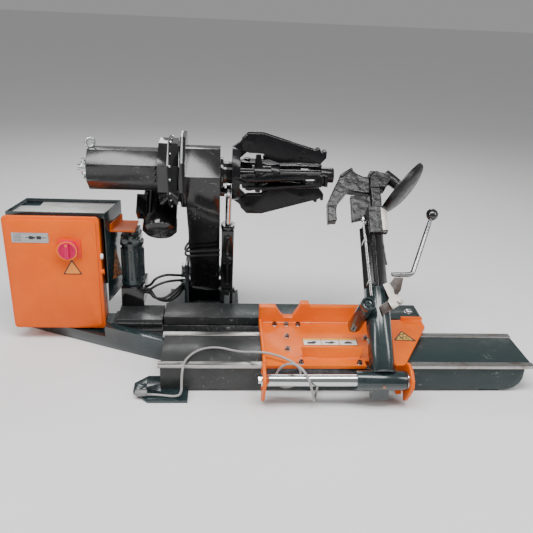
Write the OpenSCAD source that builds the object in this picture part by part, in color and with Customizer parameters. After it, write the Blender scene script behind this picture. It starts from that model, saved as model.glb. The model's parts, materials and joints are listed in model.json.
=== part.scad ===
// Heavy tire changer: a floor bed with a sliding tool carriage in front and a
// swinging chuck arm, a pump unit and an electrical cabinet behind it.
// +X runs along the bed, +Y away from the operator, +Z up. The origin is the
// front left corner of the bed, on the floor, under the front foot plate.

/* [Bed] */
// Length of the ground rails on the bed
bed_l = 1421; // [1400:1:1440]
// Width of the bed over its rails
bed_w = 250; // [246:1:254]
// Height of the rails' running faces above the floor
bed_h = 120; // [118:1:121]
// Width of each ground rail
rail_w = 30; // [26:1:34]

/* [Carriage] */
// Diameter of the chrome shaft that the tool post turns on
shaft_d = 44; // [40:1:48]
// Thickness of the two shaft ears
ear_t = 12; // [8:1:14]
// Length of the sliding rear cover
cover_l = 1097; // [1080:1:1100]

/* [Tool post] */
// Backward lean of the tool post at its stop, in degrees
post_lean = 45; // [44:1:46]
// Diameter of the post tube
post_d = 92; // [84:1:94]
// Side of the square bar above the tube
bar_side = 66; // [60:1:68]
// Diameter of the bead breaker disc
disc_d = 250; // [230:1:252]

/* [Chuck] */
// Diameter of the chuck plate
plate_d = 206; // [196:1:210]
// Number of jaws round the chuck
jaw_count = 4; // [4:1:4]
// Diameter of each jaw's hinge pin
jaw_pin_d = 20; // [16:1:20]
// Width of the gap between a jaw's two side plates
jaw_gap = 20.6; // [20.6:0.1:21]

/* [Chuck arm] */
// Diameter of the pin that the chuck arm swings on
pivot_d = 50; // [44:1:54]
// Width across flats of the octagonal drive cover
cover_flats = 152; // [140:1:160]
// Width across flats of the gear casing
casing_flats = 236; // [226:1:240]
// Diameter of the drive motor's body
motor_d = 130; // [120:1:132]

/* [Cabinet] */
// Width of the enclosure door
door_w = 370; // [366:1:372]
// Height of the enclosure door
door_h = 489; // [486:1:490]
// Thickness of the sheet metal
sheet_t = 4; // [3:0.5:4]

/* [Mains cable] */
// Diameter of the cable
cable_d = 9; // [7:0.5:9]

/* [Hidden] */
$fn = 48;
tiny = 0.01;
run_fit = 0.05;   // radial clearance of a shaft in its bore
gap = 0.5;        // clearance between sliding faces

orange = "#EE7028";
dark_green = "#1B2B2D";
gloss_black = "#0C0C0E";
cover_grey = "#4A4D4E";
worn_steel = "#B9BABA";
chrome_grey = "#C9CCCE";
cable_grey = "#A9A9A6";

// Bed
foot_t = 10;
rail_t = 12;
body_y0 = 12;
body_y1 = bed_w - 12;
body_x0 = 8;
body_x1 = bed_l - 31;
body_top = bed_h - rail_t;
beam_wall = 8;
anchor_r = 9;

// Carriage
saddle_z0 = bed_h + gap;
saddle_z1 = saddle_z0 + 14.5;
saddle_x0 = 384;
saddle_x1 = 925;
saddle_y0 = -20;
notch_x0 = 766;   // gap in the front edge that the post leans back through
notch_x1 = 866;
saddle_y1 = 333;
ear_x = [378, 906];   // left faces of the two shaft ears
shaft_y = -80;
shaft_z = 112;
shaft_r = shaft_d / 2;
sleeve_x0 = 716;
sleeve_x1 = 899;
cover_x0 = -8;
cover_y0 = 362;
cover_y1 = 491;
cover_z1 = 124;
rod_y = 427;
rod_z = 66;
bracket_x = 1040;

// Tool post
post_x = 816;
head_x = 835;
tube_top = 345;
bar_top = 600;

// Chuck
chuck_y = 400;
chuck_z = 735;
plate_x0 = 262.5;
plate_x1 = 292;
jaw_plate_t = 10;
jaw_pivot = [325, 130];
link_pin = [530, 82];
spider_pin = [363, 60];

// Chuck arm
arm_x0 = 90;
arm_x1 = 218;
pivot_y = 690;
pivot_z = 190;
casing_x0 = -10;
casing_x1 = 60;
motor_x = -22;
cover_end = -275;
cover_lift = 7;   // the cover sits this much above the chuck's axis
ram_x = 252;
ram_foot = [530, 170];
ram_head = [440, 650];
ram_lean = atan((ram_foot[0] - ram_head[0]) / (ram_head[1] - ram_foot[1]));
ram_len = norm(ram_head - ram_foot);

// Cabinet
door_x0 = -624;
door_y0 = 376;
door_z0 = 57;
hood_front = [-620, -238];
hood_back = [-588, -200];
hood_y0 = 428;
hood_y1 = 605;
hood_z0 = 161;
hood_z1 = 550;
knob_x = -376;
knob_z = 417;

// ---------------------------------------------------------------- helpers

// A box between two opposite corners
module box(a, b) {
    translate(a) cube(b - a);
}

// A cylinder along +X from x0 to x1 about (y, z)
module x_rod(x0, x1, y, z, r) {
    translate([x0, y, z]) rotate([0, 90, 0]) cylinder(h = x1 - x0, r = r);
}

// A cylinder along +Y from y0 to y1 about (x, z)
module y_rod(y0, y1, x, z, r) {
    translate([x, y0, z]) rotate([-90, 0, 0]) cylinder(h = y1 - y0, r = r);
}

// A cylinder along +Z from z0 to z1 about (x, y)
module z_rod(z0, z1, x, y, r) {
    translate([x, y, z0]) cylinder(h = z1 - z0, r = r);
}

// A (y, z) outline made solid from x0 to x1
module yz_plate(x0, x1, outline) {
    translate([x0, 0, 0]) rotate([90, 0, 90]) linear_extrude(x1 - x0) polygon(outline);
}

// An (x, z) outline made solid from y0 to y1
module xz_plate(y0, y1, outline) {
    translate([0, y1, 0]) rotate([90, 0, 0]) linear_extrude(y1 - y0) polygon(outline);
}

// An (x, y) outline made solid from z0 to z1
module xy_plate(z0, z1, outline) {
    translate([0, 0, z0]) linear_extrude(z1 - z0) polygon(outline);
}

// A hexagon bolt head or nut along +Z at the origin
module hex(across, height) {
    cylinder(h = height, d = across / cos(30), $fn = 6);
}

// The tool post's own frame: its axis is +Z, starting on the shaft
module on_post() {
    translate([0, shaft_y, shaft_z]) rotate([-post_lean, 0, 0]) children();
}

// The drive motor's own frame: its axis is +Z, running down to the fan end
module on_motor() {
    translate([motor_x, 598, 651]) rotate([135, 0, 0]) children();
}

// The arm cylinder's own frame: its axis is +Z, starting at the foot pin
module on_ram() {
    translate([ram_x, ram_foot[0], ram_foot[1]]) rotate([ram_lean, 0, 0]) children();
}

// Directions and rings for a tube swept along a list of points
function unit(v) = v / norm(v);
function along(p, i) = unit(p[min(i + 1, len(p) - 1)] - p[max(i - 1, 0)]);
function side_of(d) = unit(abs(d[2]) > 0.9 ? cross(d, [1, 0, 0]) : cross(d, [0, 0, 1]));
// The ring's first direction, carried along the path so that the tube doesn't twist
function carry(p, i) =
    i == 0 ? side_of(along(p, 0)) : let(d = along(p, i), s = carry(p, i - 1)) unit(s - d * (s * d));
function ring(c, d, s, r, n) =
    let(t = cross(d, s)) [for (k = [0:n - 1]) c + r * (cos(360 * k / n) * s + sin(360 * k / n) * t)];
// A smooth curve through the route's points
function smooth(p, i, t) =
    let(a = p[max(i - 1, 0)], b = p[i], c = p[i + 1], d = p[min(i + 2, len(p) - 1)])
    0.5 * ((2 * b) + (c - a) * t + (2 * a - 5 * b + 4 * c - d) * t * t
        + (3 * b - a - 3 * c + d) * t * t * t);
function curve(p, steps) = concat(
    [for (i = [0:len(p) - 2], k = [0:steps - 1]) smooth(p, i, k / steps)], [p[len(p) - 1]]);

module tube(path, r, sides) {
    rings = [for (i = [0:len(path) - 1]) ring(path[i], along(path, i), carry(path, i), r, sides)];
    last = len(path) - 1;
    walls = [for (i = [0:last - 1], k = [0:sides - 1])
        [i * sides + k, i * sides + (k + 1) % sides,
         (i + 1) * sides + (k + 1) % sides, (i + 1) * sides + k]];
    first_cap = [[for (k = [sides - 1:-1:0]) k]];
    last_cap = [[for (k = [0:sides - 1]) last * sides + k]];
    polyhedron([for (r_i = rings) for (q = r_i) q], concat(walls, first_cap, last_cap), convexity = 10);
}

// ------------------------------------------------------------------- base

module bed_beam() {
    round_r = 60;
    color(dark_green) {
        difference() {
            union() {
                box([body_x0, body_y0, foot_t], [body_x1 - round_r, body_y1, body_top]);
                box([body_x1 - round_r, body_y0, foot_t + round_r], [body_x1, body_y1, body_top]);
                intersection() {
                    y_rod(body_y0, body_y1, body_x1 - round_r, foot_t + round_r, round_r);
                    box([body_x1 - round_r, body_y0, foot_t], [body_x1, body_y1, foot_t + round_r]);
                }
                box([body_x0, rail_w, body_top], [bed_l - 2, bed_w - rail_w, bed_h - 4]);
            }
            box([body_x0 + beam_wall, body_y0 + beam_wall, foot_t + beam_wall],
                [body_x1 - round_r, body_y1 - beam_wall, body_top - beam_wall]);
        }
    }
}

module bed_rails() {
    color(worn_steel)
        for (y = [0, bed_w - rail_w])
            box([0, y, body_top], [bed_l, y + rail_w, bed_h]);
}

module foot_plates() {
    ear = [[112, -62], [-32, -62], [-90, -7], [-92, 51], [-44, 99], [112, 99]];
    color(dark_green) {
        difference() {
            xy_plate(0, foot_t, ear);
            z_rod(-1, foot_t + 1, -52, 23, anchor_r);
        }
        box([20, 120, 0], [112, body_y1, foot_t]);
        box([1230, 20, 0], [1310, 230, foot_t]);
    }
}

// Diagonal brace, cabinet foot and the plate that the cabinet stands on
module base_frame() {
    brace = [[8, 214], [8, 254], [-246, 365], [-246, 325]];
    foot = [[-246, 325], [-246, 365], [-600, 528], [-600, 488]];
    color(dark_green) {
        xy_plate(0, 95, brace);
        xy_plate(0, 48, foot);
        xy_plate(0, 12, [[-246, 365], [-246, 600], [-600, 600], [-600, 528]]);
        box([-560, 571, 12], [-280, 601, 300]);
    }
}

module cross_members() {
    color(dark_green) {
        for (x = [30, 130]) {
            box([x, body_y1, 0], [x + 70, 505, 28]);
            box([x, 505, 12], [x + 70, 545, 28]);
        }
        for (x = [40, 140])
            difference() {
                box([x, 388, 28], [x + 50, 466, 60]);
                x_rod(x - 1, x + 51, rod_y, rod_z, 33);
            }
    }
}

// Fixed channel round the carriage cylinder, closed over its left end
module rear_channel() {
    color(cover_grey) {
        difference() {
            box([-200, 352, 28], [-14, 482, 116]);
            box([-194, 358, 28 - 1], [-8, 476, 110]);
        }
        for (y = [358, 470])
            box([-14, y, 28], [430, y + 6, 86]);
        for (z = [60, 92])
            box([-200, 346, z], [-14, 352, z + 8]);
    }
}

module carriage_barrel() {
    color(gloss_black) {
        difference() {
            x_rod(-180, 480, rod_y, rod_z, 33);
            x_rod(-160, 481, rod_y, rod_z, 25);
        }
        difference() {
            x_rod(480, 500, rod_y, rod_z, 36);
            x_rod(479, 501, rod_y, rod_z, 16 + run_fit);
        }
        for (x = [-120, 440])
            z_rod(rod_z + 32, rod_z + 44, x, rod_y, 9);
        x_rod(-200 + 6, -180, rod_y, rod_z, 14);
    }
}

module arm_stand() {
    cheek = [[560, 12], [596, 110], [640, 238], [740, 238], [806, 140], [842, 12]];
    color(dark_green) {
        difference() {
            box([-20, 505, 0], [310, 860, 12]);
            for (x = [0, 290], y = [525, 840])
                z_rod(-1, 13, x, y, anchor_r);
        }
        for (x = [64, 224])
            difference() {
                yz_plate(x, x + 18, cheek);
                x_rod(x - 1, x + 19, pivot_y, pivot_z, pivot_d / 2);
            }
        box([82, 800, 12], [224, 816, 90]);
    }
    // fittings for the hydraulic hoses on the left cheek
    color(chrome_grey)
        for (route = hose_routes)
            x_rod(46, 64 + tiny, route[5][1], route[5][2], 8);
}

module pivot_pin() {
    color(worn_steel) {
        x_rod(52, 254, pivot_y, pivot_z, pivot_d / 2);
        x_rod(46, 52, pivot_y, pivot_z, pivot_d / 2 + 8);
        x_rod(254, 262, pivot_y, pivot_z, pivot_d / 2 + 8);
    }
}

module cylinder_foot() {
    color(gloss_black) {
        box([214, 505, 12], [290, 560, 30]);
        for (x = [226, 265.5])
            difference() {
                union() {
                    box([x, 506, 30], [x + 12.5, 554, ram_foot[1]]);
                    x_rod(x, x + 12.5, ram_foot[0], ram_foot[1], 24);
                }
                x_rod(x - 1, x + 13.5, ram_foot[0], ram_foot[1], 10);
            }
        x_rod(222, 282, ram_foot[0], ram_foot[1], 10);
        for (x = [218, 282])
            x_rod(x, x + 4, ram_foot[0], ram_foot[1], 15);
        for (x = [220, 284], y = [512, 552])
            translate([x, y, 30]) hex(10, 7);
    }
}

// ---------------------------------------------------------- cabinet and pump

// Plan of the hood, set in by the sheet's thickness and open or closed in front
function hood_plan(inset, y0) = [[hood_front[0] + inset, y0], [hood_front[1] - inset, y0],
    [hood_back[1] - inset, hood_y1 - inset], [hood_back[0] + inset, hood_y1 - inset]];

module cabinet_hood() {
    rim = 24;
    color(dark_green) {
        difference() {
            xy_plate(hood_z0, hood_z1, hood_plan(0, hood_y0));
            xy_plate(hood_z0 - 1, hood_z1 - rim, hood_plan(sheet_t, hood_y0 - 1));
            xy_plate(hood_z1 - rim + sheet_t, hood_z1 + 1, hood_plan(sheet_t, hood_y0 + sheet_t));
        }
        for (z = [330, 480])
            box([-540, 500, z], [-330, hood_y1 - sheet_t, z + 20]);
    }
}

module top_tray() {
    z0 = hood_z1 - 24 + sheet_t;
    color("#B8BAB8")
        difference() {
            xy_plate(z0, z0 + 6, hood_plan(sheet_t, hood_y0 + sheet_t));
            box([hood_front[0], hood_y1 - 60, z0 - 1], [hood_back[0] + 70, hood_y1, z0 + 7]);
        }
}

module enclosure_box() {
    color(orange) {
        difference() {
            box([-600, 398, 64], [-262, 500, 522]);
            box([-596, 397, 68], [-266, 496, 518]);
        }
        // rim that the door's seal presses on
        difference() {
            box([-596, 398, 68], [-266, 410, 518]);
            box([-586, 397, 80], [-278, 411, 506]);
        }
    }
    // cable gland under the box
    color(cable_grey) {
        translate([-430, 478, 52]) hex(26, 12);
        z_rod(36, 52, -430, 478, 9);
    }
}

module contactor_bank() {
    color("#D8D8D2")
        box([-584, 490, 120], [-282, 495.9, 500]);
    color("#33363A")
        for (x = [-570:62:-322], z = [180, 330])
            box([x, 440, z], [x + 50, 490, z + 90]);
    color("#C8A24A")
        box([-576, 472, 130], [-300, 490, 150]);
}

module pump_motor() {
    color(dark_green) {
        z_rod(212, 380, -152, 540, 44);
        for (a = [0:30:330])
            translate([-152, 540, 230]) rotate([0, 0, a]) box([42, -2, 0], [50, 2, 130]);
        z_rod(380, 396, -152, 540, 50);
        z_rod(200, 212, -152, 540, 50);
    }
    // valve block with its solenoids above the motor
    color(gloss_black) {
        box([-192, 500, 396], [-112, 580, 428]);
        for (x = [-186, -146])
            y_rod(478, 500, x + 14, 412, 13);
        for (x = [-186, -146])
            box([x, 506, 428], [x + 28, 574, 450]);
    }
}

module oil_tank() {
    color(gloss_black) {
        difference() {
            box([-196, 470, 116], [-102, 632, 200]);
            box([-190, 476, 122], [-108, 626, 194]);
        }
        z_rod(200, 214, -130, 610, 14);
        // legs down to the floor plate of the cabinet
        for (y = [484, 590])
            box([-196, y, 12], [-178, y + 20, 116]);
        box([-246, 470, 0], [-180, 620, 12]);
    }
}

module shelf_plate() {
    color(orange) {
        slope = (hood_back[1] - hood_front[1]) / (hood_y1 - hood_y0);
        wall = [for (y = [470, 600]) hood_front[1] + slope * (y - hood_y0)];
        xy_plate(456, 462, [[wall[0], 470], [-128, 470], [-128, 600], [wall[1], 600]]);
        xy_plate(462, 490, [[wall[0], 470], [wall[0] + 6, 470], [wall[1] + 6, 600], [wall[1], 600]]);
    }
}

hose_routes = [
    [[-102, 500, 180], [-76, 498, 186], [-50, 506, 200], [-10, 530, 206], [26, 566, 196], [52, 606, 178]],
    [[-102, 520, 160], [-80, 516, 156], [-60, 508, 140], [-20, 520, 132], [24, 566, 148], [52, 614, 156]],
    [[-102, 540, 176], [-78, 536, 190], [-56, 540, 216], [-14, 566, 222], [30, 600, 206], [52, 634, 190]],
    [[-102, 560, 158], [-82, 556, 150], [-60, 546, 120], [-16, 556, 104], [26, 600, 118], [52, 642, 134]],
    [[-102, 580, 140], [-82, 578, 132], [-56, 580, 96], [-10, 596, 80], [30, 626, 92], [52, 660, 112]]
];

// Five hoses from the tank's front to the fittings on the arm stand
module hydraulic_hoses() {
    hose_r = 6;
    color(gloss_black)
        for (route = hose_routes)
            tube(curve(route, 4), hose_r, 8);
}

// ------------------------------------------------------------------- door

module enclosure_door() {
    x1 = door_x0 + door_w;
    z1 = door_z0 + door_h;
    // a sheet with round corners, from y0 to y1, set in from the door's edge
    module pad(y0, y1, inset, r) {
        xa = door_x0 + inset + r;
        xb = x1 - inset - r;
        za = door_z0 + inset + r;
        zb = z1 - inset - r;
        for (x = [xa, xb], z = [za, zb])
            y_rod(y0, y1, x, z, r);
        box([xa - r, y0, za], [xb + r, y1, zb]);
        box([xa, y0, za - r], [xb, y1, zb + r]);
    }
    color(orange)
        difference() {
            union() {
                pad(door_y0 + 8, 397, 0, 16);
                pad(door_y0, door_y0 + 8, 12, 20);
            }
            box([door_x0 + 4, door_y0 + 12, door_z0 + 16], [x1 - 4, 398, z1 - 16]);
            y_rod(door_y0 - 1, door_y0 + 13, knob_x, knob_z, 9);
        }
    color(chrome_grey) {
        x_rod(x1, x1 + 7, 388, 315, 9);
        box([x1 + 7, 386, 303], [x1 + 10, 390, 327]);
    }
}

module nameplate() {
    color("#AEB0AF")
        box([-590, door_y0 - 1.5, 440], [-448, door_y0, 482]);
}

module switch_plate() {
    color("#E8402C")
        difference() {
            box([knob_x - 38, door_y0 - 4, knob_z - 36], [knob_x + 50, door_y0, knob_z + 40]);
            y_rod(door_y0 - 5, door_y0 + 1, knob_x, knob_z, 9);
        }
}

module switch_knob() {
    face = door_y0 - 4 - gap;
    color("#D0106A") {
        y_rod(face - 22, face, knob_x, knob_z, 40);
        box([knob_x - 8, face - 32, knob_z - 46], [knob_x + 8, face - 22 + tiny, knob_z + 40]);
    }
    color("#F2B01E")
        y_rod(face, door_y0 + 20, knob_x, knob_z, 8.9);
}

// --------------------------------------------------------------- carriage

module saddle() {
    plan = [[saddle_x0, saddle_y0], [notch_x0, saddle_y0], [notch_x0, 14], [notch_x1, 14],
            [notch_x1, saddle_y0], [908, saddle_y0], [1074, 276], [1074, saddle_y1],
            [saddle_x0, saddle_y1]];
    wall = [[saddle_x0, saddle_z1], [862, saddle_z1], [862, 206], [592, 206], [587, 223],
            [553, 223], [548, 204], [541, 190], [522, 158], [484, 158], [467, 178], [450, 206],
            [saddle_x0, 206]];
    bar_x0 = 525;
    bar_x1 = 762;
    color(orange) {
        xy_plate(saddle_z0, saddle_z1, plan);
        xz_plate(300, saddle_y1, wall);
        box([saddle_x0, saddle_y0, saddle_z1], [saddle_x0 + 10, 300, 150]);
        box([985, 321, saddle_z1], [1074, saddle_y1, 152]);
        // upright stop bar with its foot
        xz_plate(30, 42, [[bar_x0 + 12, saddle_z1], [bar_x1 - 12, saddle_z1], [bar_x1, 182],
                          [bar_x0, 182]]);
        box([bar_x0 + 12, 42, saddle_z1], [bar_x1 - 12, 54, 145]);
        // bracket down to the carriage cylinder's rod
        difference() {
            yz_plate(bracket_x, bracket_x + 16, [[296, 45], [478, 45], [478, 118], [372, 118],
                [372, 88], [345, 88], [345, saddle_z0], [296, saddle_z0]]);
            x_rod(bracket_x - 1, bracket_x + 17, rod_y, rod_z, 12);
        }
    }
}

module saddle_bolts() {
    places = [[447, 280], [495, 280], [543, 280], [489, 184], [483, 89], [524, -4], [742, -6],
              [802, 175], [860, 60]];
    color("#2C2C2E")
        for (p = places)
            difference() {
                z_rod(saddle_z1, saddle_z1 + 12, p[0], p[1], 9);
                translate([p[0], p[1], saddle_z1 + 6]) hex(8, 7);
            }
}

// Bars under the rails' overhang that hold the carriage down
module keeper_bars() {
    low = body_top - gap - 11.5;
    front = [[-14, low], [body_y0 - gap, low], [body_y0 - gap, body_top - gap],
             [-gap, body_top - gap], [-gap, saddle_z0], [-14, saddle_z0]];
    color("#3A3C3E") {
        yz_plate(saddle_x0, notch_x0, front);
        yz_plate(notch_x1, saddle_x1, front);
        yz_plate(saddle_x0, saddle_x1, [for (p = front) [bed_w - p[0], p[1]]]);
    }
}

module saddle_ears() {
    outline = [[saddle_y0, 137], [-34, 158], [-60, 166], [-98, 158], [-124, 134], [-130, 110],
               [-104, 60], [-72, 16], [-56, 16], [-40, 44], [-14, 97], [-14, saddle_z0],
               [saddle_y0, saddle_z0]];
    color(orange) {
        for (x = ear_x)
            difference() {
                yz_plate(x, x + ear_t, outline);
                x_rod(x - 1, x + ear_t + 1, shaft_y, shaft_z, shaft_r);
            }
        // web behind the right ear and its lip on the saddle's edge
        xz_plate(-36, -26, [[872, 92], [ear_x[1], 92], [ear_x[1], 20], [884, 20]]);
        box([872, -32, saddle_z0], [ear_x[1], saddle_y0, saddle_z1 + 10]);
        box([872, -32, 92], [ear_x[1], -26, saddle_z0]);
    }
}

module chrome_shaft() {
    color(chrome_grey) {
        x_rod(ear_x[0] - 4, ear_x[1] + ear_t, shaft_y, shaft_z, shaft_r);
        difference() {
            x_rod(sleeve_x1 + gap, ear_x[1], shaft_y, shaft_z, 31);
            x_rod(sleeve_x1, ear_x[1] + 1, shaft_y, shaft_z, shaft_r);
        }
        translate([ear_x[0] - 14, shaft_y, shaft_z]) rotate([0, 90, 0]) hex(24, 10);
    }
}

module rear_cover() {
    t = 6;
    x1 = cover_x0 + cover_l;
    color(cover_grey)
        difference() {
            box([cover_x0, cover_y0, 90], [x1, cover_y1, cover_z1]);
            box([cover_x0 - 1, cover_y0 + t, 89], [x1 + 1, cover_y1 - t, cover_z1 - t]);
        }
    color(worn_steel)
        translate([bracket_x + 8, rod_y, cover_z1]) cylinder(h = 5, r = 14);
}

module carriage_rod() {
    color(chrome_grey) {
        x_rod(118, bracket_x, rod_y, rod_z, 16);
        x_rod(118, 148, rod_y, rod_z, 25 - run_fit);
        x_rod(bracket_x, bracket_x + 30, rod_y, rod_z, 12);
        translate([bracket_x + 16, rod_y, rod_z]) rotate([0, 90, 0]) hex(36, 12);
    }
}

// ------------------------------------------------------------------ cable

exit_x = 596;
exit_y = -2;
gland_z = body_top - gap - 11.5;
cable_route = [
    [exit_x, exit_y, 64], [595, -4, 52], [589, -20, 33], [579, -50, 21], [570, -84, 28],
    [563, -108, 52], [556, -117, 84], [547, -115, 116], [533, -101, 146], [512, -76, 162],
    [486, -52, 162], [458, -40, 148], [438, -38, 124], [428, -40, 96], [438, -42, 70],
    [468, -43, 56], [500, -42, 66], [518, -40, 94], [518, -36, 124], [500, -26, 145],
    [470, -8, 154], [436, 10, 158], [398, 28, 158], [360, 44, 152], [318, 66, 138],
    [276, 92, 128], [236, 110, 127], [198, 114, 127], [162, 104, 127], [132, 80, 127],
    [112, 48, 127], [100, 16, 128], [94, -14, 121], [91, -32, 98], [90, -38, 68],
    [89, -42, 42], [80, -44, 22], [58, -42, 16], [30, -38, 16], [2, -34, 16], [-20, -32, 16]
];

module cable_gland() {
    color(cable_grey) {
        translate([exit_x, exit_y, gland_z - 8]) hex(20, 8);
        translate([exit_x, exit_y, 64]) cylinder(h = gland_z - 72, r1 = 6, r2 = 9);
    }
}

module mains_cable() {
    color(cable_grey) tube(curve(cable_route, 2), cable_d / 2, 10);
}

module cable_connector() {
    color("#8C8E90") {
        x_rod(-36, -20, -32, 16, 5.4);
        x_rod(-72, -36, -32, 23, 12.4);
        x_rod(-78, -72, -32, 23, 10);
    }
}

// -------------------------------------------------------------- tool post

module post_sleeve() {
    color(dark_green) {
        difference() {
            union() {
                x_rod(sleeve_x0, sleeve_x1, shaft_y, shaft_z, 35);
                box([776, shaft_y - 16, shaft_z - 73], [838, shaft_y + 16, shaft_z - 30]);
                on_post() box([post_x - 44, -10, 20], [post_x + 44, 10, 42]);
            }
            x_rod(sleeve_x0 - 1, sleeve_x1 + 1, shaft_y, shaft_z, shaft_r + run_fit);
        }
    }
    color("#B87333")
        translate([812, shaft_y - 34, shaft_z - 4]) rotate([90, 0, 0]) cylinder(h = 7, r = 4);
}

module post_tube() {
    color(dark_green)
        difference() {
            on_post() difference() {
                cylinder_at(post_x, 24, tube_top, post_d / 2);
                cylinder_at(post_x, 60, tube_top - 8, post_d / 2 - 7);
                box([post_x - 44, -10, 19], [post_x + 44, 10, 42]);
            }
            x_rod(sleeve_x0, sleeve_x1, shaft_y, shaft_z, 35);
        }
}

// A cylinder along the post's axis, beside it at x
module cylinder_at(x, s0, s1, r) {
    translate([x, 0, s0]) cylinder(h = s1 - s0, r = r);
}

module buffer_barrel() {
    on_post() translate([762, -78, 262]) rotate([0, 101, 96]) {
        color(dark_green) cylinder(h = 172, r = 27);
        color(gloss_black) translate([0, 0, 172]) cylinder(h = 30, r = 15);
    }
}

module latch_block() {
    color("#2A2624") on_post() {
        xz_plate(-58, -38, [[809, 261], [846, 287], [861, 258], [820, 228]]);
        // bracket that carries the lever's hub
        xz_plate(-44, -34, [[846, 340], [879, 380], [914, 380], [900, 330], [884, 310], [852, 306]]);
        box([846, -44, 306], [872, -14, 322]);
    }
}

module post_bar() {
    color(gloss_black) on_post() {
        translate([post_x, 0, tube_top]) rotate([0, 0, 45])
            translate([-bar_side / 2, -bar_side / 2, 0]) cube([bar_side, bar_side, bar_top - tube_top]);
        box([post_x - 36, -36, bar_top], [head_x + 38, 36, bar_top + 8]);
        cylinder_at(head_x, bar_top + 8, 640, 22);
    }
}

module release_rod() {
    color(chrome_grey) on_post() {
        translate([783, -54, 304]) rotate([0, -1.6, 0]) cylinder(h = 310, r = 5);
        translate([774.5, -54, 608]) rotate([0, -1.6, 0]) cylinder(h = 17, r = 9);
        box([776, -56, 352], [792, -14, 364]);
        box([771, -56, 520], [786, -9, 532]);
    }
}

lever_s = 393;
lever_y = -40;
lever_path = [[868, lever_y, lever_s], [930, lever_y, lever_s], [944, lever_y, lever_s + 2.5],
              [953, lever_y, lever_s + 9], [958, lever_y, lever_s + 19.4],
              [1050.7, lever_y, lever_s + 243]];
module latch_lever() {
    color("#9A9C9E") on_post() tube(lever_path, 9.5, 16);
}

module ball_knob() {
    color("#151517") on_post()
        difference() {
            translate([1056, lever_y, 649]) sphere(r = 24);
            translate([955, lever_y, lever_s + 12]) rotate([0, 22.5, 0]) cylinder(h = 250, r = 9.5);
        }
}

module latch_plate() {
    color("#A8A6A0") on_post() {
        xz_plate(-66, -60, [[827, 344], [849, 354], [865, 327], [867, 306], [882, 303], [899, 274],
                            [856, 248], [840, 278], [847, 290]]);
        translate([883, -66, 277]) rotate([90, 0, 0]) hex(16, 8);
    }
}

// -------------------------------------------------------------- tool head

module head_casting() {
    color("#141416") on_post() {
        difference() {
            union() {
                cylinder_at(head_x, bar_top + 10.5, 660, 38);
                box([head_x - 14, -30, 655], [862, 30, 848]);
                // knuckle that hangs down in front of the bar
                box([790, -82, 550], [862, -53, 664]);
                box([790, -82, bar_top + 12], [862, -20, 664]);
            }
            cylinder_at(head_x, bar_top, 642, 22 + run_fit);
        }
        // rough top and the plate beside the block
        xz_plate(-34, 30, [[818, 770], [824, 824], [846, 846], [880, 838], [902, 822], [904, 806],
                           [884, 772]]);
        translate([856, 0, 843]) scale([1, 1, 0.5]) sphere(r = 24);
        xz_plate(-14, 14, [[740, 742], [821, 745], [821, 655], [792, 641], [740, 628]]);
        // boss that carries the disc
        translate([disc_x, 0, disc_s]) rotate([0, 133, 0]) translate([0, 0, -98])
            cylinder(h = 67.5, r = 25);
    }
    color(chrome_grey) on_post()
        translate([838, -62, 552]) rotate([180, -4.4, 0]) cylinder(h = 130, r = 5);
}

module hook() {
    blade = [[821, 829], [800, 826], [775, 838], [751, 862], [702, 832], [644, 706], [642, 620],
             [680, 626], [679, 674], [688, 706], [731, 760], [808, 750], [821, 750]];
    color("#1A1A1C") on_post() {
        xz_plate(-20, 20, blade);
        xz_plate(-30, 30, [[698, 826], [749, 864], [757, 856], [706, 816]]);
    }
}

// Dished disc that turns freely on the head
disc_x = 963;
disc_s = 782;
module bead_disc() {
    dish = 30;
    outer = disc_d / 2;
    color("#2A2B2D") on_post()
        translate([disc_x, 0, disc_s]) rotate([0, 133, 0]) {
            rotate_extrude($fn = 72)
                polygon([[0, 0], [26, 0], [30, 10], [60, 16], [outer - 14, 0], [outer - 2, -14],
                         [outer, -10], [outer - 6, 6], [62, 26], [28, 24], [0, 24]]);
            translate([0, 0, -dish]) cylinder(h = dish, r1 = 16, r2 = 24);
        }
}

// -------------------------------------------------------------- chuck arm

hose_drop = 26;
module chuck_arm() {
    outline = [[305, 740], [393, 826], [446, 828], [560, 740], [620, 600], [690, 440], [760, 290],
               [775, 190], [740, 120], [650, 110], [605, 150], [600, 190], [575, 260], [520, 370],
               [440, 500], [330, 640]];
    core = [[420, 640], [540, 640], [640, 430], [690, 300], [640, 300], [600, 370], [520, 520]];
    color(gloss_black) {
        difference() {
            yz_plate(arm_x0, arm_x1, outline);
            yz_plate(arm_x0 + 12, arm_x1 - 12, core);
            x_rod(arm_x0 - 1, arm_x1 + 1, pivot_y, pivot_z, pivot_d / 2 + run_fit);
            x_rod(140, arm_x1 + 1, chuck_y, chuck_z, 32);
        }
        // fittings of the two hoses that cross the arm
        for (drop = [0, hose_drop])
            x_rod(82, arm_x0 + 1, 606 + drop / 2, 366 - drop, 10);
        // pin for the arm cylinder's rod eye
        x_rod(arm_x1, 236, ram_head[0], ram_head[1], 22);
        x_rod(236, 262, ram_head[0], ram_head[1], 12);
    }
}

module spindle_housing() {
    color(gloss_black)
        difference() {
            union() {
                x_rod(arm_x1, 262, chuck_y, chuck_z, 42);
                x_rod(arm_x1, 230, chuck_y, chuck_z, 58);
            }
            x_rod(arm_x1 - 1, 263, chuck_y, chuck_z, 30 + run_fit);
        }
}

// An octagonal prism about the chuck's axis with a flat on top
module octagon(x0, x1, flats) {
    translate([x0, chuck_y, chuck_z]) rotate([0, 90, 0]) rotate([0, 0, 22.5])
        cylinder(h = x1 - x0, d = flats / cos(22.5), $fn = 8);
}

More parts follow.
